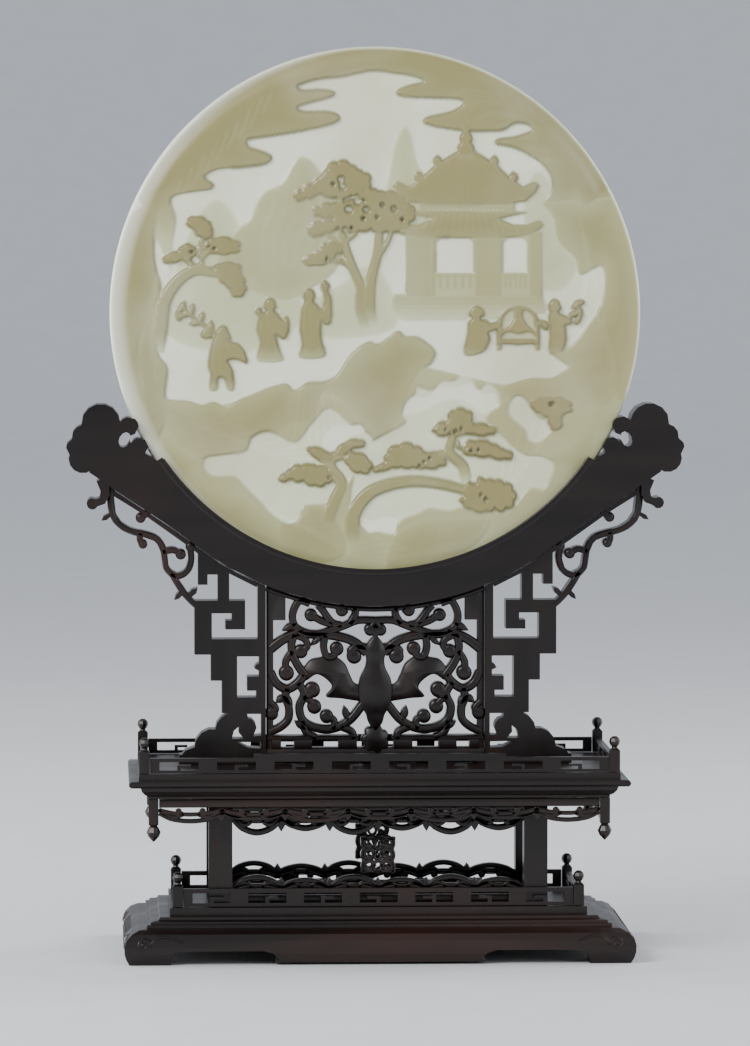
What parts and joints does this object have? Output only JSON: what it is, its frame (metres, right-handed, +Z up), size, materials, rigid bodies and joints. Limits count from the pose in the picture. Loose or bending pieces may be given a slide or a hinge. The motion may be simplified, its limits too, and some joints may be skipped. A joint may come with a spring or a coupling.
{
  "type": "table screen",
  "caption": "Carved jade disc held in a crescent cradle on an openwork wooden stand with railed platforms.",
  "frame": {"origin": "centre of the footprint on the ground under the four feet", "axes": "+Z up through the disc's centre, +X to the right across the screen, the carved face towards -Y"},
  "size_m": [0.291, 0.126, 0.4263],
  "materials": {
    "pale_jade": "polished",
    "dark_rosewood": "polished"
  },
  "bodies": {
    "root": {"base_plinth": "dark_rosewood", "corner_pendant_back_left": "dark_rosewood", "corner_pendant_back_right": "dark_rosewood", "corner_pendant_front_left": "dark_rosewood", "corner_pendant_front_right": "dark_rosewood", "crescent_cradle": "dark_rosewood", "fret_side_left": "dark_rosewood", "fret_side_right": "dark_rosewood", "jade_disc": "pale_jade", "leg_back_left": "dark_rosewood", "leg_back_right": "dark_rosewood", "leg_front_left": "dark_rosewood", "leg_front_right": "dark_rosewood", "lower_frieze_back": "dark_rosewood", "lower_frieze_front": "dark_rosewood", "lower_frieze_left": "dark_rosewood", "lower_frieze_right": "dark_rosewood", "lower_post_back_left": "dark_rosewood", "lower_post_back_right": "dark_rosewood", "lower_post_front_left": "dark_rosewood", "lower_post_front_right": "dark_rosewood", "lower_rail_back": "dark_rosewood", "lower_rail_front": "dark_rosewood", "lower_rail_left": "dark_rosewood", "lower_rail_right": "dark_rosewood", "openwork_panel": "dark_rosewood", "strut_back": "dark_rosewood", "strut_front": "dark_rosewood", "upper_apron_back": "dark_rosewood", "upper_apron_front": "dark_rosewood", "upper_apron_left": "dark_rosewood", "upper_apron_right": "dark_rosewood", "upper_frieze_back": "dark_rosewood", "upper_frieze_front": "dark_rosewood", "upper_frieze_left": "dark_rosewood", "upper_frieze_right": "dark_rosewood", "upper_platform": "dark_rosewood", "upper_post_back_left": "dark_rosewood", "upper_post_back_right": "dark_rosewood", "upper_post_front_left": "dark_rosewood", "upper_post_front_right": "dark_rosewood", "upper_rail_back": "dark_rosewood", "upper_rail_front": "dark_rosewood", "upper_rail_left": "dark_rosewood", "upper_rail_right": "dark_rosewood"}
  },
  "joints": []
}
